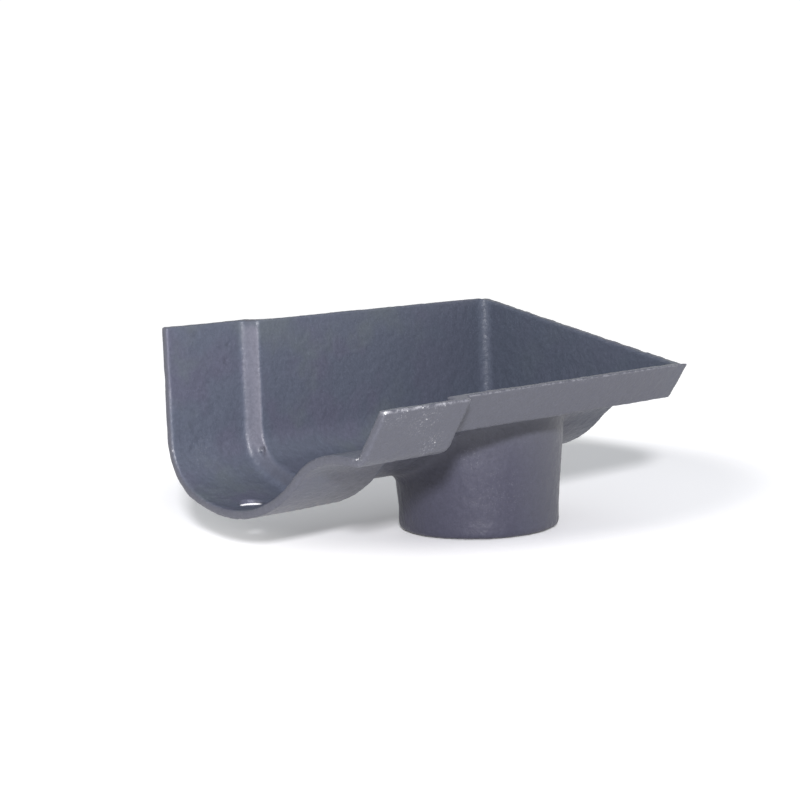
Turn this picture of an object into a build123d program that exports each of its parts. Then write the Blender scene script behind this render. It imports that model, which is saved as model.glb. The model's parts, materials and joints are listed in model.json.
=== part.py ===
"""Cast iron stopend outlet for a 125 mm moulded (ogee) gutter, in millimetres.

One casting: an ogee trough closed by a stop end, a joggled socket that takes the
next gutter length, and a short round spigot that enters the downpipe.

Frame: origin at the centre of the spigot's foot, +X along the gutter towards the
stop end, +Y to the back face that lies on the fascia, +Z up.
"""
import os
from math import acos, cos, degrees, radians, sin, tan

from build123d import *

# Section of the trough, measured outside
GUTTER_WIDTH = 125.0
BACK_Y = 57.2
BACK_TOP_Z = 94.9
LIP_TOP_Z = 69.9
SOLE_Z = 25.0
SOLE_FROM_BACK = 34.5
SOLE_RADIUS = 57.0
HEEL_RADIUS = 19.0
OGEE_ANGLE = 45.0
CREST_RADIUS = 40.0
LIP_ANGLE = 56.0
LIP_CORNER_RADIUS = 2.0
LIP_ROOT_RADIUS = 2.2
WALL = 4.4

# Lengths along the gutter: the joggle's step is longer outside than inside
OPEN_END_X = -119.8
INNER_STEP_START_X = -81.9
INNER_STEP_END_X = -76.2
OUTER_STEP_START_X = -75.6
OUTER_STEP_END_X = -70.6
STOP_END_X = 63.9

# Socket: the next gutter length lies in it on a bed of putty
JOINT_GAP = 2.5
SOCKET_GROWTH = WALL + JOINT_GAP

# Hole for the bolt that holds the joint together
BOLT_HOLE_RADIUS = 4.5
BOLT_HOLE_X = -104.5
BOLT_HOLE_FROM_BACK = 30.0

# How the inner step eases in and out: share of its length, share of its depth
INNER_STEP_EASE = ((0, 0), (0.22, 0.09), (0.78, 0.91), (1, 1))

# Spigot that enters the downpipe: a rounded foot, a parallel land, then draft up to the sole
SPIGOT_RADIUS = 35.5
SPIGOT_LAND = 9.0
SPIGOT_DRAFT = 4.5
SPIGOT_TOP_Z = 58.0
BORE_RADIUS = 31.0

# Radii left by the pattern and the moulding sand
SPIGOT_FILLET = 4.5
FOOT_ROUND = 2.6
FOOT_FLATS = 3
BORE_MOUTH_CHAMFER = 2.0
OUTER_STEP_CONVEX = 2.4
OUTER_STEP_CONCAVE = 1.8
STOP_CORNER_RADIUS = 4.5
STOP_EDGE_CHAMFER = 0.8
SLOPING_RIM_CHAMFER = 0.6
RIM_ROUND = 0.8
OPEN_END_CHAMFER = 0.7

# Reach of the cutting solids past the casting
OVERRUN = 5.0
OVERHEAD_Z = 125.0
SIDE_REACH = 200.0
MID_TROUGH_Y = 20.0

# Centres of the two arcs of the ogee, and the ledge that its crest runs into
ARC_SUM = SOLE_RADIUS + CREST_RADIUS
SOLE_Y = BACK_Y - SOLE_FROM_BACK
SOLE_CENTRE_Z = SOLE_Z + SOLE_RADIUS
CREST_Y = SOLE_Y - ARC_SUM * sin(radians(OGEE_ANGLE))
CREST_CENTRE_Z = SOLE_CENTRE_Z - ARC_SUM * cos(radians(OGEE_ANGLE))
LEDGE_Z = CREST_CENTRE_Z + CREST_RADIUS

TOLERANCE = 1e-3


def lip_y(z, growth):
    """Y of the lip's slanted face at height z, with the section grown by growth."""
    shift = growth / sin(radians(LIP_ANGLE))
    return BACK_Y - GUTTER_WIDTH - shift + (LIP_TOP_Z - z) / tan(radians(LIP_ANGLE))


def trough_section(x, growth, corner_radius):
    """Filled section of the trough in the plane at x, grown outwards by growth.

    The outline runs down the back, round the heel, through the hollow and over the
    crest of the ogee, along the ledge and up the slanted lip. It is closed far above
    the rim, which is trimmed later.
    """
    back_y = BACK_Y + growth
    ledge_z = LEDGE_Z - growth
    hollow_radius = SOLE_RADIUS + growth
    crest_radius = CREST_RADIUS - growth
    heel_angle = degrees(acos((back_y - SOLE_Y) / hollow_radius))
    hollow_sweep = heel_angle - 90 - OGEE_ANGLE
    heel = (back_y, SOLE_CENTRE_Z - hollow_radius * sin(radians(heel_angle)))
    corner = (lip_y(ledge_z, growth), ledge_z)
    with BuildSketch(Plane.YZ.offset(x)) as section:
        with BuildLine():
            hollow = CenterArc((SOLE_Y, SOLE_CENTRE_Z), hollow_radius, -heel_angle, hollow_sweep)
            crest = CenterArc((CREST_Y, CREST_CENTRE_Z), crest_radius, 90 - OGEE_ANGLE, OGEE_ANGLE)
            lip_overhead = (lip_y(OVERHEAD_Z, growth), OVERHEAD_Z)
            back_overhead = (back_y, OVERHEAD_Z)
            Polyline(crest @ 1, corner, lip_overhead, back_overhead, hollow @ 0)
        make_face()
        fillet(section.vertices().sort_by_distance(heel)[0], HEEL_RADIUS + growth)
        fillet(section.vertices().sort_by_distance(corner)[0], corner_radius)
    return section.sketch


def rim_section(x, steps):
    """Everything above a rim, as a section in the plane at x; steps is the rim from lip to back."""
    with BuildSketch(Plane.YZ.offset(x)) as section:
        with BuildLine():
            lip_side = [(-SIDE_REACH, OVERHEAD_Z), (-SIDE_REACH, LIP_TOP_Z)]
            back_side = [(SIDE_REACH, BACK_TOP_Z), (SIDE_REACH, OVERHEAD_Z)]
            Polyline(*lip_side, *steps, *back_side, close=True)
        make_face()
    return section.sketch


def edges_at_x(solid, x):
    """Edges of a solid that lie in the plane at x."""
    return solid.edges().filter_by_position(Axis.X, x - TOLERANCE, x + TOLERANCE)


def rim_edge(solid, y, z):
    """The long edge of a level rim, at y."""
    level = solid.edges().filter_by(Axis.X).filter_by_position(Axis.Z, z - TOLERANCE, z + TOLERANCE)
    return level.filter_by_position(Axis.Y, y - TOLERANCE, y + TOLERANCE).sort_by(SortBy.LENGTH)[-1]


def upper_edges(face, z):
    """Edges of a wall's face that reach above z, leaving out its seam."""
    rising = face.edges().filter_by(lambda edge: edge.bounding_box().max.Z > z)
    return rising.filter_by(GeomType.LINE, reverse=True)


# Outside form, filled
with BuildPart() as outside:
    # Socket, joggle and trough
    socket_corner = LIP_CORNER_RADIUS + SOCKET_GROWTH
    socket_end = trough_section(OPEN_END_X, SOCKET_GROWTH, socket_corner)
    step_start = trough_section(OUTER_STEP_START_X, SOCKET_GROWTH, socket_corner)
    step_end = trough_section(OUTER_STEP_END_X, 0, LIP_CORNER_RADIUS)
    extrude(socket_end, amount=OUTER_STEP_START_X - OPEN_END_X)
    loft([step_start, step_end], ruled=True)
    extrude(step_end, amount=STOP_END_X - OUTER_STEP_END_X)
    fillet(edges_at_x(outside, OUTER_STEP_END_X), OUTER_STEP_CONCAVE)
    fillet(edges_at_x(outside, OUTER_STEP_START_X), OUTER_STEP_CONVEX)
    # Spigot, with the cast fillet where it meets the sole and the ogee
    foot_centre = (SPIGOT_RADIUS - FOOT_ROUND, FOOT_ROUND)
    top_radius = SPIGOT_RADIUS + (SPIGOT_TOP_Z - SPIGOT_LAND) * tan(radians(SPIGOT_DRAFT))
    with BuildSketch(Plane.XZ):
        with BuildLine():
            foot = CenterArc(foot_centre, FOOT_ROUND, 270, 90, mode=Mode.PRIVATE)
            foot_points = [foot @ (flat / FOOT_FLATS) for flat in range(FOOT_FLATS + 1)]
            wall = [(SPIGOT_RADIUS, SPIGOT_LAND), (top_radius, SPIGOT_TOP_Z), (0, SPIGOT_TOP_Z)]
            Polyline((0, 0), *foot_points, *wall, close=True)
        make_face()
    revolve(axis=Axis.Z)
    drafted_wall = outside.faces().filter_by(GeomType.CONE).sort_by(SortBy.AREA)[-1]
    fillet(upper_edges(drafted_wall, SPIGOT_LAND + 1), SPIGOT_FILLET)

# Inside form: the water way, which ends a wall's thickness short of the stop end
with BuildPart() as water_way:
    gap_corner = LIP_CORNER_RADIUS + JOINT_GAP
    mouth = trough_section(OPEN_END_X - OVERRUN, JOINT_GAP, gap_corner)
    extrude(mouth, amount=INNER_STEP_START_X - OPEN_END_X + OVERRUN)
    step = []
    for length_share, depth_share in INNER_STEP_EASE:
        step_x = INNER_STEP_START_X + (INNER_STEP_END_X - INNER_STEP_START_X) * length_share
        growth = JOINT_GAP - (JOINT_GAP + WALL) * depth_share
        corner_radius = gap_corner + (LIP_ROOT_RADIUS - gap_corner) * depth_share
        step.append(trough_section(step_x, growth, corner_radius))
    loft(step, ruled=True)
    extrude(step[-1], amount=STOP_END_X - WALL - INNER_STEP_END_X)
    fillet(edges_at_x(water_way, STOP_END_X - WALL), STOP_CORNER_RADIUS)

# The casting
with BuildPart() as outlet_casting:
    add(outside.part)
    add(water_way.part, mode=Mode.SUBTRACT)
    # Bore of the spigot, chamfered where the water enters it
    with BuildSketch(Plane.XY.offset(-OVERRUN)):
        Circle(BORE_RADIUS)
    extrude(amount=SPIGOT_TOP_Z + 2 * OVERRUN, mode=Mode.SUBTRACT)
    bore_walls = outlet_casting.faces().filter_by(GeomType.CYLINDER)
    bore_wall = bore_walls.filter_by(lambda face: abs(face.radius - BORE_RADIUS) < TOLERANCE)[0]
    chamfer(upper_edges(bore_wall, SPIGOT_LAND), BORE_MOUTH_CHAMFER)
    # Rim: the back and the lip end level, each at its own height
    level_rim = [(MID_TROUGH_Y, LIP_TOP_Z), (MID_TROUGH_Y, BACK_TOP_Z)]
    extrude(
        rim_section(OPEN_END_X - OVERRUN, level_rim),
        amount=STOP_END_X - WALL - OPEN_END_X + OVERRUN,
        mode=Mode.SUBTRACT,
    )
    # Stop end: its top slopes straight from the back's rim down to the lip's
    sloping_rim = [(lip_y(LIP_TOP_Z, -WALL), LIP_TOP_Z), (BACK_Y - WALL, BACK_TOP_Z)]
    extrude(
        rim_section(STOP_END_X - WALL, sloping_rim),
        amount=WALL + OVERRUN,
        mode=Mode.SUBTRACT,
    )
    stop_face = outlet_casting.faces().sort_by(Axis.X)[-1]
    stop_outline = stop_face.edges().filter_by(lambda edge: edge.bounding_box().min.Z < LIP_TOP_Z - TOLERANCE)
    chamfer(stop_outline, STOP_EDGE_CHAMFER)
    # Rims, fettled: the sloping one on its outer edge, then the level ones
    sloping_edge = edges_at_x(outlet_casting, STOP_END_X).sort_by(SortBy.LENGTH)[-1]
    chamfer(sloping_edge, SLOPING_RIM_CHAMFER)
    for y, z in (
        (BACK_Y, BACK_TOP_Z),
        (lip_y(LIP_TOP_Z, 0), LIP_TOP_Z),
        (lip_y(LIP_TOP_Z, -WALL), LIP_TOP_Z),
        (lip_y(LIP_TOP_Z, JOINT_GAP), LIP_TOP_Z),
        (BACK_Y + JOINT_GAP, BACK_TOP_Z),
    ):
        fillet(rim_edge(outlet_casting, y, z), RIM_ROUND)
    chamfer(edges_at_x(outlet_casting, OPEN_END_X), OPEN_END_CHAMFER)
    # Bolt hole through the socket's sole
    with BuildSketch(Plane.XY):
        with Locations((BOLT_HOLE_X, BACK_Y - BOLT_HOLE_FROM_BACK)):
            Circle(BOLT_HOLE_RADIUS)
    extrude(amount=SOLE_Z, mode=Mode.SUBTRACT)

outlet_casting.part.label = "outlet_casting"
os.makedirs("parts", exist_ok=True)
export_step(outlet_casting.part, "parts/outlet_casting.step")
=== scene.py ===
"""Looks of a painted cast iron stopend outlet for a moulded gutter.

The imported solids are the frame. One skin stands for the casting: the same form with the uneven
surface, soft edges and rough rims of sand-cast iron, under a satin coat of slate grey paint.
A white floor, soft studio light and the photograph's camera are set round it.
"""
import json
import logging
from dataclasses import dataclass, field
from enum import Enum

import bpy
import numpy as np
from mathutils import Matrix, Vector

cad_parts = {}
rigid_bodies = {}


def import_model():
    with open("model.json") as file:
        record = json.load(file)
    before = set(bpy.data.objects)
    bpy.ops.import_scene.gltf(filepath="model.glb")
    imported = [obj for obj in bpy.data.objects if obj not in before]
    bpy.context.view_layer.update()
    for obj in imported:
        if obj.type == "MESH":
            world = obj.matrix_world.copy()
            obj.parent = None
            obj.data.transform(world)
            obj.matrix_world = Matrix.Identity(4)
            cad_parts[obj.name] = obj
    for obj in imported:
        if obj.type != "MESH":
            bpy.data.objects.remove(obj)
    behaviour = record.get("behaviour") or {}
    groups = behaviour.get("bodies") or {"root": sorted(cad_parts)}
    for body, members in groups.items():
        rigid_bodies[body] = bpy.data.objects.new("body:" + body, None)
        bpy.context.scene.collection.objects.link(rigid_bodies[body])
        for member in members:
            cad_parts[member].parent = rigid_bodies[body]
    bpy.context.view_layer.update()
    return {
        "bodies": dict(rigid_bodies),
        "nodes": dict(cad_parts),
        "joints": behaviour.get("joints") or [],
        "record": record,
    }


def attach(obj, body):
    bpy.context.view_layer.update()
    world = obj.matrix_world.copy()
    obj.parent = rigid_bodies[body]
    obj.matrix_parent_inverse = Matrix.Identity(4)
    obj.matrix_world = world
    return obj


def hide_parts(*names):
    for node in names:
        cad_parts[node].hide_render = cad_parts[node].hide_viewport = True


LOG = logging.getLogger("stopend_outlet")
IMAGE_SIDE = 800
Place = tuple[float, float, float]
Colour = tuple[float, float, float]
Span = tuple[float, float]


class Patch(Enum):
    """Vertex groups that limit a displacement to part of the casting."""

    STOP_RIM = "stop_rim"
    WRINKLES = "wrinkles"
    PITS = "pits"
    ROOTS = "roots"


def deselect_all() -> None:
    """Leave object mode with nothing selected and nothing active."""
    if bpy.context.object and bpy.context.object.mode != "OBJECT":
        bpy.ops.object.mode_set(mode="OBJECT")
    bpy.ops.object.select_all(action="DESELECT")


def make_active(piece: bpy.types.Object) -> None:
    """Select one piece alone and make it the active one.

    Args:
        piece: The object that the next operators work on.
    """
    deselect_all()
    piece.select_set(True)
    bpy.context.view_layer.objects.active = piece


def apply_modifier(piece: bpy.types.Object, kind: str, name: str, **settings: object) -> None:
    """Add a modifier, set it up and apply it at once.

    Args:
        piece: The object that is changed.
        kind: Blender's name for the modifier's type.
        name: What the modifier does here.
        **settings: Its properties, by name.
    """
    make_active(piece)
    modifier = piece.modifiers.new(name, kind)
    for key, value in settings.items():
        setattr(modifier, key, value)
    bpy.ops.object.modifier_apply(modifier=modifier.name)


def cloud_texture(name: str, size: float, depth: int) -> bpy.types.Texture:
    """Make a procedural cloud pattern for a Displace modifier.

    Args:
        name: The pattern's name.
        size: Size of its largest features, in metres.
        depth: How many finer layers it has.

    Returns:
        The texture.
    """
    texture = bpy.data.textures.new(name, "CLOUDS")
    texture.noise_scale = size
    texture.noise_depth = depth
    texture.noise_basis = "BLENDER_ORIGINAL"
    return texture


def rise(value: np.ndarray, start: float, over: float) -> np.ndarray:
    """Grow from 0 at the start to 1 where the value is that much past it."""
    return np.clip((value - start) / over, 0, 1)


def fall(value: np.ndarray, end: float, over: float) -> np.ndarray:
    """Sink to 0 at the end, from 1 where the value is that much short of it."""
    return np.clip((end - value) / over, 0, 1)


@dataclass(frozen=True)
class Pattern:
    """A noise pattern: its features per metre, its finer layers and how strong those are."""

    scale: float
    detail: float
    rough: float = 0.5


@dataclass(frozen=True)
class NodeCanvas:
    """A material's node tree, with short ways to add and link its nodes."""

    tree: bpy.types.NodeTree

    def add(self, kind: str, **values: object) -> bpy.types.Node:
        """Add a node and set its properties and unlinked inputs.

        Args:
            kind: The node's type, as in ShaderNodeMix.
            **values: Properties by name; those that the node lacks are inputs, with _ for a space.

        Returns:
            The node.
        """
        node = self.tree.nodes.new(kind)
        for key, value in values.items():
            if hasattr(node, key):
                setattr(node, key, value)
            else:
                node.inputs[key.replace("_", " ")].default_value = value
        return node

    def link(self, source: bpy.types.NodeSocket, target: bpy.types.NodeSocket) -> None:
        """Join an output to an input."""
        self.tree.links.new(source, target)

    def noise(self, vector: bpy.types.NodeSocket, pattern: Pattern) -> bpy.types.NodeSocket:
        """Add a noise pattern on the object's own coordinates.

        Args:
            vector: The coordinates to read.
            pattern: The noise's scale and layers.

        Returns:
            The pattern's value, about 0 to 1.
        """
        node = self.add(
            "ShaderNodeTexNoise", Scale=pattern.scale, Detail=pattern.detail, Roughness=pattern.rough,
        )
        self.link(vector, node.inputs["Vector"])
        return node.outputs["Fac"]

    def ramp(
        self, value: bpy.types.NodeSocket, low: float, high: float, to_low: float = 0.0, to_high: float = 1.0,
    ) -> bpy.types.NodeSocket:
        """Map a value's range onto another, clamped and smoothed.

        Args:
            value: The value to map.
            low: Where the ramp starts.
            high: Where it ends.
            to_low: The result at the start.
            to_high: The result at the end.

        Returns:
            The mapped value.
        """
        node = self.add("ShaderNodeMapRange", interpolation_type="SMOOTHSTEP")
        node.inputs["From Min"].default_value = low
        node.inputs["From Max"].default_value = high
        node.inputs["To Min"].default_value = to_low
        node.inputs["To Max"].default_value = to_high
        self.link(value, node.inputs["Value"])
        return node.outputs["Result"]

    def math(self, operation: str, first: bpy.types.NodeSocket, second: object) -> bpy.types.NodeSocket:
        """Combine two values.

        Args:
            operation: Name of the sum, as in MULTIPLY.
            first: The first value.
            second: The second value, a socket or a number.

        Returns:
            The result.
        """
        node = self.add("ShaderNodeMath", operation=operation)
        self.link(first, node.inputs[0])
        if isinstance(second, (int, float)):
            node.inputs[1].default_value = second
        else:
            self.link(second, node.inputs[1])
        return node.outputs[0]

    def mix(self, factor: bpy.types.NodeSocket, first: object, second: object) -> bpy.types.NodeSocket:
        """Mix two colours.

        Args:
            factor: 0 gives the first, 1 the second.
            first: A colour as three numbers, or a socket.
            second: A colour as three numbers, or a socket.

        Returns:
            The mixed colour.
        """
        node = self.add("ShaderNodeMix", data_type="RGBA")
        self.link(factor, node.inputs[0])
        for socket, colour in ((node.inputs[6], first), (node.inputs[7], second)):
            if isinstance(colour, tuple):
                socket.default_value = (*colour, 1.0)
            else:
                self.link(colour, socket)
        return node.outputs[2]


@dataclass(frozen=True)
class SatinPaint:
    """Satin slate grey paint over sand-cast iron: faintly mottled, worn on the edges, chipped in places, with
    painted light and shade in its colour.

    Each speck is a place where the paint has come off, partly a painted highlight on a rim, with its radius, in
    metres.
    """

    slate: Colour = (0.070, 0.079, 0.105)
    slate_purple: Colour = (0.073, 0.076, 0.105)
    slate_green: Colour = (0.077, 0.088, 0.104)
    outer_reflection_tone: Colour = (0.068, 0.070, 0.086)
    stop_shade_tone: Colour = (0.052, 0.061, 0.082)
    spigot_shade_tone: Colour = (0.038, 0.038, 0.056)
    step_highlight_tone: Colour = (0.112, 0.113, 0.139)
    pit_shade_tone: Colour = (0.012, 0.013, 0.016)
    rub_and_highlight: Colour = (0.36, 0.36, 0.38)
    bare_and_glint: Colour = (0.52, 0.52, 0.52)
    glint_white: Colour = (0.66, 0.66, 0.66)
    gloss: float = 0.28
    roughness_low: float = 0.36
    roughness_high: float = 0.46
    sheen_range: Span = (0.35, 0.65)
    purple_blotches: Pattern = Pattern(48.0, 2.0)
    purple_range: Span = (0.42, 0.62)
    green_blotches: Pattern = Pattern(31.0, 3.0, 0.6)
    green_range: Span = (0.50, 0.68)
    shade_range: Span = (0.30, 0.70)
    shades: Span = (0.93, 1.07)
    fleck_grains: Pattern = Pattern(1500.0, 1.0)
    fleck_range: Span = (0.60, 0.72)
    fleck_strengths: Span = (0.0, 0.5)
    edge_dots: Pattern = Pattern(820.0, 2.0, 0.6)
    dot_range: Span = (0.42, 0.60)
    dot_strengths: Span = (0.1, 0.85)
    pebbles: Pattern = Pattern(620.0, 3.0, 0.6)
    pebble_bump: float = 0.5
    relief: Pattern = Pattern(300.0, 2.0, 0.55)
    relief_bump: float = 0.6
    grain: Pattern = Pattern(1700.0, 2.0)
    grain_bump: float = 0.5
    relief_height: float = 0.00045
    pebble_height: float = 0.00026
    grain_height: float = 0.00008
    speck_raggedness: float = 0.0022
    speck_grain: float = 1300.0
    speck_core: float = 0.65
    specks: tuple[tuple[Place, float], ...] = (
        ((-0.1197, -0.0744, 0.0690), 0.0010),
        ((-0.1180, -0.0728, 0.0650), 0.0003),
        ((-0.1129, -0.0754, 0.0689), 0.0006),
        ((-0.1087, -0.0752, 0.0685), 0.0005),
        ((-0.1049, -0.0754, 0.0688), 0.0005),
        ((-0.1009, -0.0753, 0.0687), 0.0005),
        ((-0.0973, -0.0753, 0.0687), 0.0004),
        ((-0.0893, -0.0749, 0.0681), 0.0004),
        ((-0.0963, -0.0718, 0.0634), 0.0004),
        ((-0.0904, -0.0645, 0.0527), 0.0003),
        ((-0.0859, -0.0647, 0.0529), 0.0004),
        ((-0.1198, -0.0580, 0.0506), 0.0007),
        ((-0.1197, 0.0599, 0.0432), 0.0006),
        ((-0.1197, 0.0596, 0.0400), 0.0005),
    )
    hole_middle: Place = (-0.1045, 0.0272, 0.0)
    hole_reach: float = 0.0052
    hole_far_side: Place = (0.67, 0.74, 0.0)
    far_side_range: Span = (0.0012, 0.0026)
    glint_from: float = 0.0206
    glint_to: float = 0.0212
    glint_softness: float = 0.0002

    def material(self) -> bpy.types.Material:
        """Build the material.

        Returns:
            The finished paint.
        """
        paint = bpy.data.materials.new("satin_slate_paint")
        paint.use_nodes = True
        paint.node_tree.nodes.clear()
        canvas = NodeCanvas(paint.node_tree)
        place = canvas.add("ShaderNodeTexCoord").outputs["Object"]
        pebble = canvas.noise(place, self.pebbles)
        grain = canvas.noise(place, self.grain)
        colour = self.coat(canvas, place, pebble)
        # Chipped specks, partly painted highlights on the rims.
        colour = canvas.mix(self.chips_and_glints(canvas, place), colour, self.bare_and_glint)
        # Painted highlight: a glint of light on the bolt hole's far wall.
        colour = canvas.mix(self.painted_hole_glint(canvas, place), colour, self.glint_white)
        shader = canvas.add("ShaderNodeBsdfPrincipled")
        shader.inputs["Specular IOR Level"].default_value = self.gloss
        canvas.link(colour, shader.inputs["Base Color"])
        rough = canvas.ramp(pebble, *self.sheen_range, self.roughness_low, self.roughness_high)
        canvas.link(rough, shader.inputs["Roughness"])
        normal = None
        for height, strength, distance in (
            (grain, self.grain_bump, self.grain_height),
            (canvas.noise(place, self.relief), self.relief_bump, self.relief_height),
            (pebble, self.pebble_bump, self.pebble_height),
        ):
            bump = canvas.add("ShaderNodeBump", Strength=strength, Distance=distance)
            canvas.link(height, bump.inputs["Height"])
            if normal is not None:
                canvas.link(normal, bump.inputs["Normal"])
            normal = bump.outputs["Normal"]
        canvas.link(normal, shader.inputs["Normal"])
        output = canvas.add("ShaderNodeOutputMaterial")
        canvas.link(shader.outputs["BSDF"], output.inputs["Surface"])
        return paint

    def coat(
        self, canvas: NodeCanvas, place: bpy.types.NodeSocket, pebble: bpy.types.NodeSocket,
    ) -> bpy.types.NodeSocket:
        """Mix the paint's tones: broad blotches, the painted light and shade of each region, pebbling, and
        flecks and worn edges that are partly painted highlights.

        Args:
            canvas: The material's node tree.
            place: The object's own coordinates.
            pebble: The fine pebbled pattern.

        Returns:
            The paint's colour.
        """
        purple = canvas.ramp(canvas.noise(place, self.purple_blotches), *self.purple_range)
        colour = canvas.mix(purple, self.slate, self.slate_purple)
        green = canvas.ramp(canvas.noise(place, self.green_blotches), *self.green_range)
        colour = canvas.mix(green, colour, self.slate_green)
        for name, tone in (
            # painted tint of the floor's reflected light on the outward faces
            ("outer_reflection_tint", self.outer_reflection_tone),
            # painted shade on the inner faces towards the stop end
            ("stop_shade", self.stop_shade_tone),
            # painted shade on the spigot, less on its side lit by the floor
            ("spigot_shade", self.spigot_shade_tone),
            # painted highlight on the inner step
            ("step_highlight", self.step_highlight_tone),
            # painted shade: the pits are darkened
            ("pit_shade", self.pit_shade_tone),
        ):
            share = canvas.add("ShaderNodeAttribute", attribute_name=name).outputs["Fac"]
            colour = canvas.mix(share, colour, tone)
        shade = canvas.ramp(pebble, *self.shade_range, *self.shades)
        tone = canvas.add("ShaderNodeVectorMath", operation="SCALE")
        canvas.link(colour, tone.inputs[0])
        canvas.link(shade, tone.inputs["Scale"])
        # Flecks and worn edges take a lighter tone that is partly a painted highlight.
        flecked = canvas.add("ShaderNodeAttribute", attribute_name="flecked").outputs["Fac"]
        grains = canvas.noise(place, self.fleck_grains)
        flecks = canvas.math(
            "MULTIPLY", flecked, canvas.ramp(grains, *self.fleck_range, *self.fleck_strengths),
        )
        edge = canvas.add("ShaderNodeAttribute", attribute_name="edge_wear_and_highlight").outputs["Fac"]
        dots = canvas.ramp(canvas.noise(place, self.edge_dots), *self.dot_range, *self.dot_strengths)
        flecked_coat = canvas.mix(flecks, tone.outputs[0], self.rub_and_highlight)
        return canvas.mix(canvas.math("MULTIPLY", edge, dots), flecked_coat, self.rub_and_highlight)

    def chips_and_glints(self, canvas: NodeCanvas, place: bpy.types.NodeSocket) -> bpy.types.NodeSocket:
        """Mask the ragged specks where the paint is chipped off, which partly stand in for highlights on the
        rims.

        Args:
            canvas: The material's node tree.
            place: The object's own coordinates.

        Returns:
            1 on the specks, 0 on paint.
        """
        ragged = canvas.add("ShaderNodeTexNoise", Scale=self.speck_grain, Detail=1.0)
        canvas.link(place, ragged.inputs["Vector"])
        shift = canvas.add("ShaderNodeVectorMath", operation="MULTIPLY_ADD")
        shift.inputs[1].default_value = (self.speck_raggedness,) * 3
        canvas.link(ragged.outputs["Color"], shift.inputs[0])
        canvas.link(place, shift.inputs[2])
        mask = None
        for centre, radius in self.specks:
            away = canvas.add("ShaderNodeVectorMath", operation="DISTANCE")
            away.inputs[1].default_value = tuple(value + self.speck_raggedness / 2 for value in centre)
            canvas.link(shift.outputs[0], away.inputs[0])
            speck = canvas.ramp(away.outputs["Value"], radius * self.speck_core, radius, 1.0, 0.0)
            mask = speck if mask is None else canvas.math("MAXIMUM", mask, speck)
        return mask

    def painted_hole_glint(self, canvas: NodeCanvas, place: bpy.types.NodeSocket) -> bpy.types.NodeSocket:
        """Mask the painted glint: a narrow line of painted light on the far wall of the bolt hole.

        Args:
            canvas: The material's node tree.
            place: The object's own coordinates.

        Returns:
            1 on the line, 0 elsewhere.
        """
        flat = canvas.add("ShaderNodeVectorMath", operation="MULTIPLY")
        flat.inputs[1].default_value = (1.0, 1.0, 0.0)
        canvas.link(place, flat.inputs[0])
        off = canvas.add("ShaderNodeVectorMath", operation="SUBTRACT")
        off.inputs[1].default_value = self.hole_middle
        canvas.link(flat.outputs[0], off.inputs[0])
        reach = canvas.add("ShaderNodeVectorMath", operation="LENGTH")
        canvas.link(off.outputs[0], reach.inputs[0])
        side = canvas.add("ShaderNodeVectorMath", operation="DOT_PRODUCT")
        side.inputs[1].default_value = self.hole_far_side
        canvas.link(off.outputs[0], side.inputs[0])
        height = canvas.add("ShaderNodeSeparateXYZ")
        canvas.link(place, height.inputs[0])
        soft = self.glint_softness
        mask = canvas.ramp(reach.outputs["Value"], self.hole_reach, self.hole_reach + soft, 1.0, 0.0)
        for limit in (
            canvas.ramp(side.outputs["Value"], *self.far_side_range),
            canvas.ramp(height.outputs["Z"], self.glint_from - soft, self.glint_from + soft),
            canvas.ramp(height.outputs["Z"], self.glint_to - soft, self.glint_to + soft, 1.0, 0.0),
        ):
            mask = canvas.math("MULTIPLY", mask, limit)
        return mask


@dataclass(frozen=True)
class WhiteFloor:
    """Plain white studio floor that glows a little near the casting and more further away; the weaker glow
    round the casting is painted shade.
    """

    white: Colour = (0.86, 0.86, 0.86)
    roughness: float = 0.6
    gloss: float = 0.25
    glow_near: float = 0.05
    glow_far: float = 0.40
    glow_beyond: float = 0.16
    glow_tint: Colour = (1.0, 0.985, 0.96)
    dim_middle: Place = (0.07, 0.08, 0.0)
    near: float = 0.125
    far: float = 0.19
    beyond: float = 2.0

    def material(self) -> bpy.types.Material:
        """Build the floor's material.

        Returns:
            The finished floor.
        """
        floor = bpy.data.materials.new("studio_floor_white")
        floor.use_nodes = True
        canvas = NodeCanvas(floor.node_tree)
        shader = floor.node_tree.nodes["Principled BSDF"]
        shader.inputs["Base Color"].default_value = (*self.white, 1.0)
        shader.inputs["Roughness"].default_value = self.roughness
        shader.inputs["Specular IOR Level"].default_value = self.gloss
        shader.inputs["Emission Color"].default_value = (*self.glow_tint, 1.0)
        away = canvas.add("ShaderNodeVectorMath", operation="DISTANCE")
        away.inputs[1].default_value = self.dim_middle
        canvas.link(canvas.add("ShaderNodeTexCoord").outputs["Object"], away.inputs[0])
        # Less glow round the casting paints shade onto the floor there.
        glow = canvas.math(
            "ADD",
            canvas.ramp(away.outputs["Value"], self.near, self.far, self.glow_near, self.glow_far),
            canvas.ramp(away.outputs["Value"], self.far, self.beyond, 0.0, self.glow_beyond),
        )
        canvas.link(glow, shader.inputs["Emission Strength"])
        return floor


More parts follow.
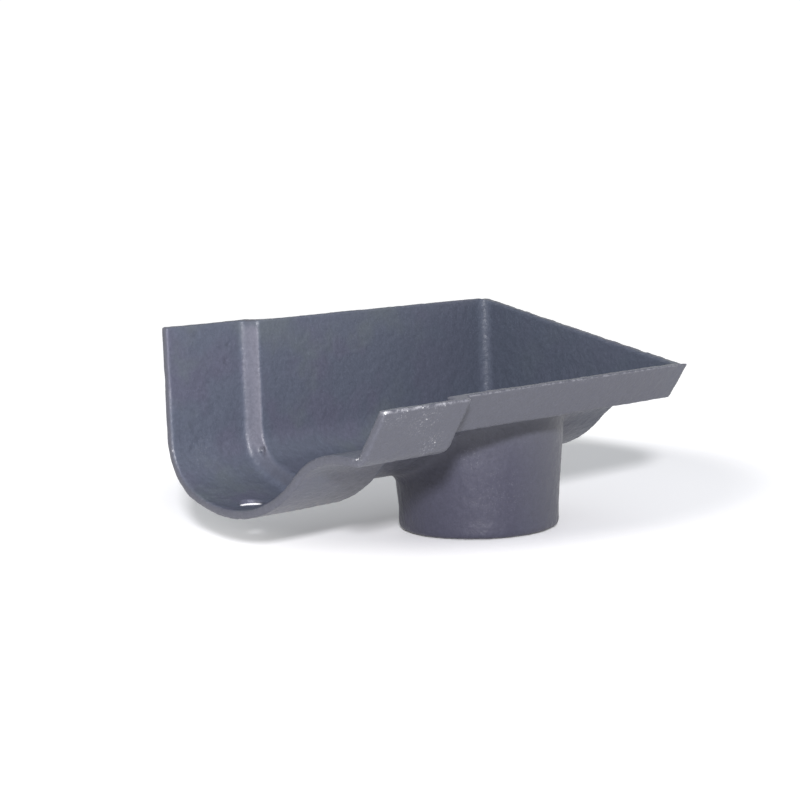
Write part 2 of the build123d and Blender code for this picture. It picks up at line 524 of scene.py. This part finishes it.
@dataclass
class CastSkin:
    """The casting's visible skin: the solid's own form, with the unevenness of a sand casting.

    Sizes are in metres. A pit is a place, its radius and its depth; a wrinkle is a place and its radius.
    """

    node: str = "outlet_casting"
    merge_distance: float = 2e-6
    voxel: float = 0.00108
    most_triangles: int = 192000
    edge_softness: float = 0.4
    root_softness: float = 0.5
    root_rounds: int = 8
    full_root_turn: float = 120.0
    sand_wave: float = 0.016
    sand_wave_height: float = 0.00038
    sand_grit: float = 0.0036
    sand_grit_height: float = 0.00038
    rim_break: float = 0.0038
    rim_break_height: float = 0.0011
    stop_rim_x: float = 0.0593
    stop_rim_slack: float = 0.0006
    rim_depth: float = 0.0022
    wall: float = 0.0044
    back_from_y: float = 0.02
    lip_top: float = 0.0699
    back_top: float = 0.0949
    lip_y: float = -0.0641
    back_y: float = 0.0572
    wrinkle_size: float = 0.0022
    wrinkle_height: float = 0.0010
    wrinkle_level: float = 0.75
    wrinkles: tuple[tuple[Place, float], ...] = (
        ((-0.1060, 0.0590, 0.0425), 0.013),
        ((-0.0930, 0.0585, 0.0415), 0.010),
        ((-0.1140, 0.0370, 0.0245), 0.012),
        ((-0.1090, 0.0260, 0.0226), 0.009),
    )
    pit_depth: float = 0.0018
    pits: tuple[tuple[Place, float, float], ...] = (
        ((-0.0782, 0.0526, 0.0387), 0.0021, 1.0),
        ((-0.0787, 0.0518, 0.0374), 0.0017, 0.8),
        ((-0.0884, 0.0597, 0.0846), 0.0017, 0.35),
        ((-0.1048, 0.0597, 0.0898), 0.0015, 0.30),
        ((-0.0904, 0.0597, 0.0775), 0.0014, 0.30),
        ((-0.0990, 0.0597, 0.0700), 0.0013, 0.22),
        ((-0.0600, 0.0530, 0.0780), 0.0014, 0.20),
        ((0.0100, 0.0528, 0.0700), 0.0015, 0.20),
        ((0.0590, -0.0100, 0.0650), 0.0014, 0.20),
    )
    rub_and_highlight_places: tuple[tuple[Place, float], ...] = (
        ((-0.1195, 0.0592, 0.0430), 0.011),
        ((-0.1195, 0.0597, 0.0640), 0.010),
        ((-0.1198, -0.0745, 0.0690), 0.006),
        ((-0.1120, -0.0754, 0.0690), 0.007),
        ((-0.1020, -0.0754, 0.0690), 0.008),
        ((-0.0900, -0.0752, 0.0690), 0.007),
        ((-0.1198, -0.0580, 0.0506), 0.004),
    )
    rub_elsewhere: float = 0.10
    rub_on_lip: float = 0.32
    lip_band: float = 0.0016
    lip_side_y: float = -0.055
    edge_turn: float = 260.0
    flecks: tuple[tuple[Place, float, float], ...] = (
        ((-0.0880, -0.0646, 0.0528), 0.010, 1.0),
        ((-0.0960, -0.0715, 0.0632), 0.012, 0.9),
        ((-0.1120, -0.0740, 0.0670), 0.009, 0.8),
        ((-0.1195, -0.0590, 0.0515), 0.006, 1.0),
        ((-0.0280, -0.0248, 0.0357), 0.009, 0.26),
        ((-0.0180, -0.0305, 0.0200), 0.020, 0.16),
        ((-0.1050, 0.0585, 0.0410), 0.014, 0.22),
        ((-0.1130, 0.0350, 0.0240), 0.012, 0.20),
    )
    pit_shade_gain: float = 1.5
    trough_middle: Place = (-0.030, -0.005, 0.060)
    outer_gain: float = 2.5
    outer_bias: float = 0.25
    inner_gain: float = 4.0
    stop_shade_share: float = 0.75
    stop_from_x: float = -0.02
    stop_over: float = 0.07
    spigot_radius: float = 0.0355
    spigot_reach: float = 0.0405
    spigot_edge: float = 0.004
    spigot_top: float = 0.052
    spigot_fade: float = 0.012
    pale_side: Span = (0.74, -0.67)
    paleness: float = 0.7
    pale_from: float = 0.35
    pale_over: float = 0.5
    step_x: float = -0.0788
    step_half: float = 0.0042
    step_from_y: float = 0.028
    step_edge_x: float = -0.0819
    step_across: float = 0.0057
    step_highlight_range: Span = (0.45, 0.75)
    step_foot_z: float = 0.028
    step_rise: float = 0.020
    step_top_z: float = 0.0935
    step_top_fade: float = 0.003
    step_facing: Span = (0.35, 0.4)
    heel_highlight_place: tuple[Place, float] = ((-0.0785, 0.0545, 0.0430), 0.008)
    heel_highlight_share: float = 0.6
    piece: bpy.types.Object = field(init=False, default=None)
    true_form: bpy.types.Object = field(init=False, default=None)

    def build(self, frame: dict) -> bpy.types.Object:
        """Make the skin and dress it.


        Returns:
            The finished piece.
        """
        self.piece = self.copy_form(frame["nodes"][self.node], "cast_skin")
        self.true_form = self.copy_form(frame["nodes"][self.node], "true_form")
        self.remesh()
        self.roughen()
        self.thin_out()
        self.mark_wear()
        self.dress()
        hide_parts("outlet_casting")
        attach(self.piece, "root")
        return self.piece

    def copy_form(self, node: bpy.types.Object, name: str) -> bpy.types.Object:
        """Copy the solid's mesh and merge its loose triangles.

        Args:
            node: The casting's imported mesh.
            name: The copy's name.

        Returns:
            The copy.
        """
        copy = bpy.data.objects.new(name, node.data.copy())
        bpy.context.scene.collection.objects.link(copy)
        make_active(copy)
        bpy.ops.object.mode_set(mode="EDIT")
        bpy.ops.mesh.select_all(action="SELECT")
        bpy.ops.mesh.remove_doubles(threshold=self.merge_distance)
        bpy.ops.object.mode_set(mode="OBJECT")
        return copy

    def remesh(self) -> None:
        """Give the form an even net of small faces that lies on the solid, and soften its edges a little."""
        apply_modifier(
            self.piece, "REMESH", "even_net", mode="VOXEL", voxel_size=self.voxel, adaptivity=0.0,
        )
        apply_modifier(
            self.piece, "SHRINKWRAP", "on_the_form", target=self.true_form,
            wrap_method="NEAREST_SURFACEPOINT",
        )
        apply_modifier(self.piece, "SMOOTH", "soft_edges", factor=self.edge_softness, iterations=1)
        bpy.data.objects.remove(self.true_form)
        self.weigh(Patch.ROOTS, fall(self.outward_turn(), 0.0, self.full_root_turn))
        apply_modifier(
            self.piece, "SMOOTH", "soft_roots", factor=self.root_softness, iterations=self.root_rounds,
            vertex_group=Patch.ROOTS.value,
        )

    def roughen(self) -> None:
        """Displace the surface: waves and sand grit all over, then the local faults of the casting."""
        for name, size, height in (
            ("sand_wave", self.sand_wave, self.sand_wave_height),
            ("sand_grit", self.sand_grit, self.sand_grit_height),
        ):
            apply_modifier(
                self.piece, "DISPLACE", name, texture=cloud_texture(name, size, 2), texture_coords="LOCAL",
                strength=height, mid_level=1.0,
            )
        points = self.points()
        self.weigh(Patch.WRINKLES, self.near_places(points, self.wrinkles))
        apply_modifier(
            self.piece, "DISPLACE", "wrinkles", texture=cloud_texture("wrinkles", self.wrinkle_size, 1),
            texture_coords="LOCAL", vertex_group=Patch.WRINKLES.value, strength=self.wrinkle_height,
            mid_level=self.wrinkle_level,
        )
        self.weigh(Patch.PITS, self.spots(points, self.pits))
        apply_modifier(
            self.piece, "DISPLACE", "pits", vertex_group=Patch.PITS.value, strength=-self.pit_depth,
            mid_level=0.0,
        )
        self.break_stop_rim()

    def break_stop_rim(self) -> None:
        """Break the metal unevenly along the stop end's sloping rim."""
        points = self.points()
        below = self.rim_height(points[:, 0], points[:, 1]) - points[:, 2]
        near_rim = np.clip(1 - below / self.rim_depth, 0, 1)
        self.weigh(Patch.STOP_RIM, near_rim * (points[:, 0] > self.stop_rim_x - self.stop_rim_slack))
        apply_modifier(
            self.piece, "DISPLACE", "rim_break", texture=cloud_texture("rim_break", self.rim_break, 2),
            texture_coords="LOCAL", direction="Z", vertex_group=Patch.STOP_RIM.value,
            strength=self.rim_break_height, mid_level=1.0,
        )

    def thin_out(self) -> None:
        """Merge faces where the surface is plain, so that the piece stays a sensible size."""
        triangles = sum(len(face.vertices) - 2 for face in self.piece.data.polygons)
        share = min(1.0, self.most_triangles / triangles)
        LOG.info("%d triangles before thinning, share kept %.2f", triangles, share)
        if share < 1.0:
            apply_modifier(self.piece, "DECIMATE", "plain_faces", decimate_type="COLLAPSE", ratio=share)

    def rim_height(self, x: np.ndarray, y: np.ndarray) -> np.ndarray:
        """Height of the rim above each point.

        Args:
            x: Positions along the gutter.
            y: Positions across it.

        Returns:
            The rim's height there.
        """
        slope = (self.back_top - self.lip_top) / (self.back_y - self.wall - self.lip_y)
        sloped = self.lip_top + np.clip(y - self.lip_y, 0, None) * slope
        level = np.where(y > self.back_from_y, self.back_top, self.lip_top)
        return np.where(x > self.stop_rim_x, np.minimum(sloped, self.back_top), level)

    def near_places(self, points: np.ndarray, places: tuple[tuple[Place, float], ...]) -> np.ndarray:
        """Weigh each vertex by how near it lies to any of some places.

        Args:
            points: Vertex positions as rows.
            places: Each place and its radius.

        Returns:
            1 at a place, falling smoothly to 0 at its radius.
        """
        weight = np.zeros(len(points))
        for place, radius in places:
            share = np.clip(1 - np.linalg.norm(points - np.array(place), axis=1) / radius, 0, 1)
            weight = np.maximum(weight, share * share * (3 - 2 * share))
        return weight

    def spots(self, points: np.ndarray, places: tuple[tuple[Place, float, float], ...]) -> np.ndarray:
        """Weigh each vertex by spots of different strength.

        Args:
            points: Vertex positions as rows.
            places: Each spot's place, radius and strength.

        Returns:
            0 outside the spots, up to its strength at the middle of each.
        """
        weight = np.zeros(len(points))
        for place, radius, share in places:
            weight = np.maximum(weight, share * self.near_places(points, ((place, radius),)))
        return weight

    def weigh(self, patch: Patch, weight: np.ndarray) -> None:
        """Make a vertex group.

        Args:
            patch: The part of the casting that it covers.
            weight: One weight for each vertex.
        """
        group = self.piece.vertex_groups.new(name=patch.value)
        for index in np.flatnonzero(weight > 0):
            group.add([int(index)], float(weight[index]), "REPLACE")

    def points(self) -> np.ndarray:
        """Read the skin's vertex positions as rows of x, y and z."""
        flat = np.empty(len(self.piece.data.vertices) * 3)
        self.piece.data.vertices.foreach_get("co", flat)
        return flat.reshape(-1, 3)

    def normals(self) -> np.ndarray:
        """Read the skin's vertex normals as rows of x, y and z."""
        flat = np.empty(len(self.piece.data.vertices) * 3)
        self.piece.data.vertices.foreach_get("normal", flat)
        return flat.reshape(-1, 3)

    def outward_turn(self) -> np.ndarray:
        """Measure how sharply the surface turns at each vertex.

        Returns:
            The turn in radians per metre: above 0 on outer edges, below 0 in inner corners.
        """
        mesh = self.piece.data
        points, normals = self.points(), self.normals()
        edges = np.empty(len(mesh.edges) * 2, dtype=np.int64)
        mesh.edges.foreach_get("vertices", edges)
        edges = edges.reshape(-1, 2)
        run = points[edges[:, 1]] - points[edges[:, 0]]
        turn = np.einsum("ij,ij->i", normals[edges[:, 1]] - normals[edges[:, 0]], run)
        turn /= np.maximum(np.linalg.norm(run, axis=1), 1e-5) ** 2
        total = sum(np.bincount(edges[:, side], weights=turn, minlength=len(points)) for side in (0, 1))
        return total / np.maximum(np.bincount(edges.ravel(), minlength=len(points)), 1)

    def store(self, name: str, value: np.ndarray) -> None:
        """Store one number for each vertex, for the paint to read.

        Args:
            name: The attribute's name.
            value: The numbers.
        """
        attribute = self.piece.data.attributes.new(name, "FLOAT", "POINT")
        attribute.data.foreach_set("value", value.astype(np.float32))
        LOG.info("%s is %.3f on average over %d vertices", name, float(value.mean()), len(value))

    def mark_wear(self) -> None:
        """Store where the paint is worn and flecked, partly as painted highlights, where the step and the
        outward faces take painted light, and where the stop end, the spigot and the pits take painted shade.
        """
        points, normals = self.points(), self.normals()
        rub_and_highlight = np.maximum(self.rub_elsewhere, self.near_places(points, self.rub_and_highlight_places))
        on_lip = (points[:, 2] > self.lip_top - self.lip_band) & (points[:, 1] < self.lip_side_y)
        rub_and_highlight = np.where(on_lip, np.maximum(rub_and_highlight, self.rub_on_lip), rub_and_highlight)
        # Edge wear, partly painted highlight along the rims and the lip's top.
        self.store("edge_wear_and_highlight", rub_and_highlight * rise(self.outward_turn(), self.edge_turn, self.edge_turn))
        # Painted highlight on the inner step, lighter towards its outer edge and at its heel.
        self.store("step_highlight", self.step_highlight_weight(points, normals))
        outwards = points - np.array(self.trough_middle)
        outwards /= np.linalg.norm(outwards, axis=1)[:, None]
        facing_out = np.einsum("ij,ij->i", outwards, normals)
        # Painted light: outward faces take a greyer tone for the floor's light reflected onto them.
        self.store("outer_reflection_tint", np.clip(facing_out * self.outer_gain - self.outer_bias, 0, 1))
        inside = np.clip(-facing_out * self.inner_gain, 0, 1)
        # Painted shade: the inner faces towards the stop end are darkened.
        self.store("stop_shade", self.stop_shade_share * inside * rise(points[:, 0], self.stop_from_x, self.stop_over))
        # Painted shade on the spigot, eased on the side that the floor's reflection lights.
        self.store("spigot_shade", self.spigot_shade_weight(points))
        # Painted shade in the pits: they are darkened in colour.
        self.store("pit_shade", np.clip(self.spots(points, self.pits) * self.pit_shade_gain, 0, 1))
        self.store("flecked", self.spots(points, self.flecks))

    def spigot_shade_weight(self, points: np.ndarray) -> np.ndarray:
        """Weigh each vertex by the painted shade that darkens the spigot.

        Args:
            points: Vertex positions as rows.

        Returns:
            0 above and beside the spigot; on it up to 1, and less on its pale side, where the floor's reflected
            light is painted in.
        """
        across, along = self.pale_side
        sideways = (points[:, 0] * across + points[:, 1] * along) / self.spigot_radius - self.pale_from
        paler = 1 - self.paleness * np.clip(sideways, 0, self.pale_over) / self.pale_over
        near_axis = fall(np.hypot(points[:, 0], points[:, 1]), self.spigot_reach, self.spigot_edge)
        return fall(points[:, 2], self.spigot_top, self.spigot_fade) * paler * near_axis

    def step_highlight_weight(self, points: np.ndarray, normals: np.ndarray) -> np.ndarray:
        """Weigh each vertex by the painted highlight on the inner step that faces the open end.

        Args:
            points: Vertex positions as rows.
            normals: Vertex normals as rows.

        Returns:
            0 off the step; on it more towards its outer edge, fading at its top and round the heel.
        """
        near_step = np.abs(points[:, 0] - self.step_x) < self.step_half
        on_step = near_step & (points[:, 1] > self.step_from_y)
        least, more = self.step_highlight_range
        across = least + more * rise(points[:, 0], self.step_edge_x, self.step_across)
        above_foot = rise(points[:, 2], self.step_foot_z, self.step_rise)
        fading = above_foot * fall(points[:, 2], self.step_top_z, self.step_top_fade)
        # Painted highlight at the step's heel.
        heel_sheen = self.heel_highlight_share * self.near_places(points, (self.heel_highlight_place,))
        return on_step * (across * fading + heel_sheen) * rise(-normals[:, 0], *self.step_facing)

    def dress(self) -> None:
        """Shade the skin smooth and paint it."""
        make_active(self.piece)
        bpy.ops.object.shade_smooth()
        self.piece.data.materials.clear()
        self.piece.data.materials.append(SatinPaint().material())


@dataclass
class Studio:
    """White floor, even light all round, one small lamp close to the camera, and the photograph's camera."""

    floor_side: float = 12.0
    camera_at: Place = (-0.54077, -0.54902, 0.15216)
    camera_right: Place = (0.73872, -0.67321, -0.03295)
    camera_down: Place = (-0.10716, -0.06903, -0.99184)
    camera_ahead: Place = (0.66544, 0.73622, -0.12313)
    focal_pixels: float = 1775.2
    sensor: float = 36.0
    backdrop: Colour = (1.06, 1.06, 1.06)
    front: Colour = (0.36, 0.36, 0.37)
    zenith: Colour = (0.42, 0.44, 0.47)
    backdrop_range: Span = (-0.4, 0.5)
    zenith_range: Span = (0.20, 0.85)
    lamp_from: Place = (-0.641, -0.708, 0.355)
    lamp_distance: float = 1.6
    lamp_side: float = 0.12
    lamp_power: float = 42.0
    lamp_colour: Colour = (0.97, 0.96, 1.0)
    aim: Place = (-0.03, 0.0, 0.04)
    backdrop_towards: Place = (0.67, 0.74, 0.0)

    def build(self) -> None:
        """Make the floor, the lights and the camera."""
        self.lay_floor()
        self.light_sky()
        self.hang_lamp()
        self.stand_camera()

    def lay_floor(self) -> None:
        """Lay the floor under the spigot's foot."""
        deselect_all()
        bpy.ops.mesh.primitive_plane_add(size=self.floor_side, location=(0, 0, 0))
        floor = bpy.context.object
        floor.name = "studio_floor"
        floor.data.materials.append(WhiteFloor().material())

    def light_sky(self) -> None:
        """Fill the studio with light from a white backdrop, weaker from the front and from high above."""
        world = bpy.data.worlds.new("studio_white")
        world.use_nodes = True
        canvas = NodeCanvas(world.node_tree)
        direction = canvas.add("ShaderNodeTexCoord").outputs["Generated"]
        apart = canvas.add("ShaderNodeSeparateXYZ")
        canvas.link(direction, apart.inputs[0])
        behind = canvas.add("ShaderNodeVectorMath", operation="DOT_PRODUCT")
        behind.inputs[1].default_value = self.backdrop_towards
        canvas.link(direction, behind.inputs[0])
        backdrop_share = canvas.ramp(behind.outputs["Value"], *self.backdrop_range)
        around = canvas.mix(backdrop_share, self.front, self.backdrop)
        sky = canvas.mix(canvas.ramp(apart.outputs["Z"], *self.zenith_range), around, self.zenith)
        background = world.node_tree.nodes["Background"]
        canvas.link(sky, background.inputs["Color"])
        background.inputs["Strength"].default_value = 1.0
        bpy.context.scene.world = world

    def hang_lamp(self) -> None:
        """Hang the small square lamp whose shadow falls across the spigot."""
        light = bpy.data.lights.new("key_lamp", "AREA")
        light.shape = "SQUARE"
        light.size = self.lamp_side
        light.energy = self.lamp_power
        light.color = self.lamp_colour
        lamp = bpy.data.objects.new("key_lamp", light)
        bpy.context.scene.collection.objects.link(lamp)
        away = Vector(self.lamp_from).normalized()
        lamp.location = Vector(self.aim) + away * self.lamp_distance
        lamp.rotation_euler = (-away).to_track_quat("-Z", "Y").to_euler()

    def stand_camera(self) -> None:
        """Stand the camera where the photograph was taken, with its lens."""
        data = bpy.data.cameras.new("photo_camera")
        data.sensor_width = self.sensor
        data.lens = self.focal_pixels / IMAGE_SIDE * self.sensor
        data.clip_start = 0.01
        camera = bpy.data.objects.new("photo_camera", data)
        bpy.context.scene.collection.objects.link(camera)
        axes = Matrix((self.camera_right, -Vector(self.camera_down), -Vector(self.camera_ahead))).transposed()
        camera.matrix_world = Matrix.Translation(self.camera_at) @ axes.to_4x4()
        bpy.context.scene.camera = camera


def main() -> None:
    """Dress the casting and set the studio round it."""
    logging.basicConfig(level=logging.INFO, format="%(name)s: %(message)s")
    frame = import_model()
    skin = CastSkin().build(frame)
    LOG.info("%s has %d faces", skin.name, len(skin.data.polygons))
    Studio().build()
    bpy.context.scene.view_settings.view_transform = "Standard"


if __name__ == "__main__":
    main()
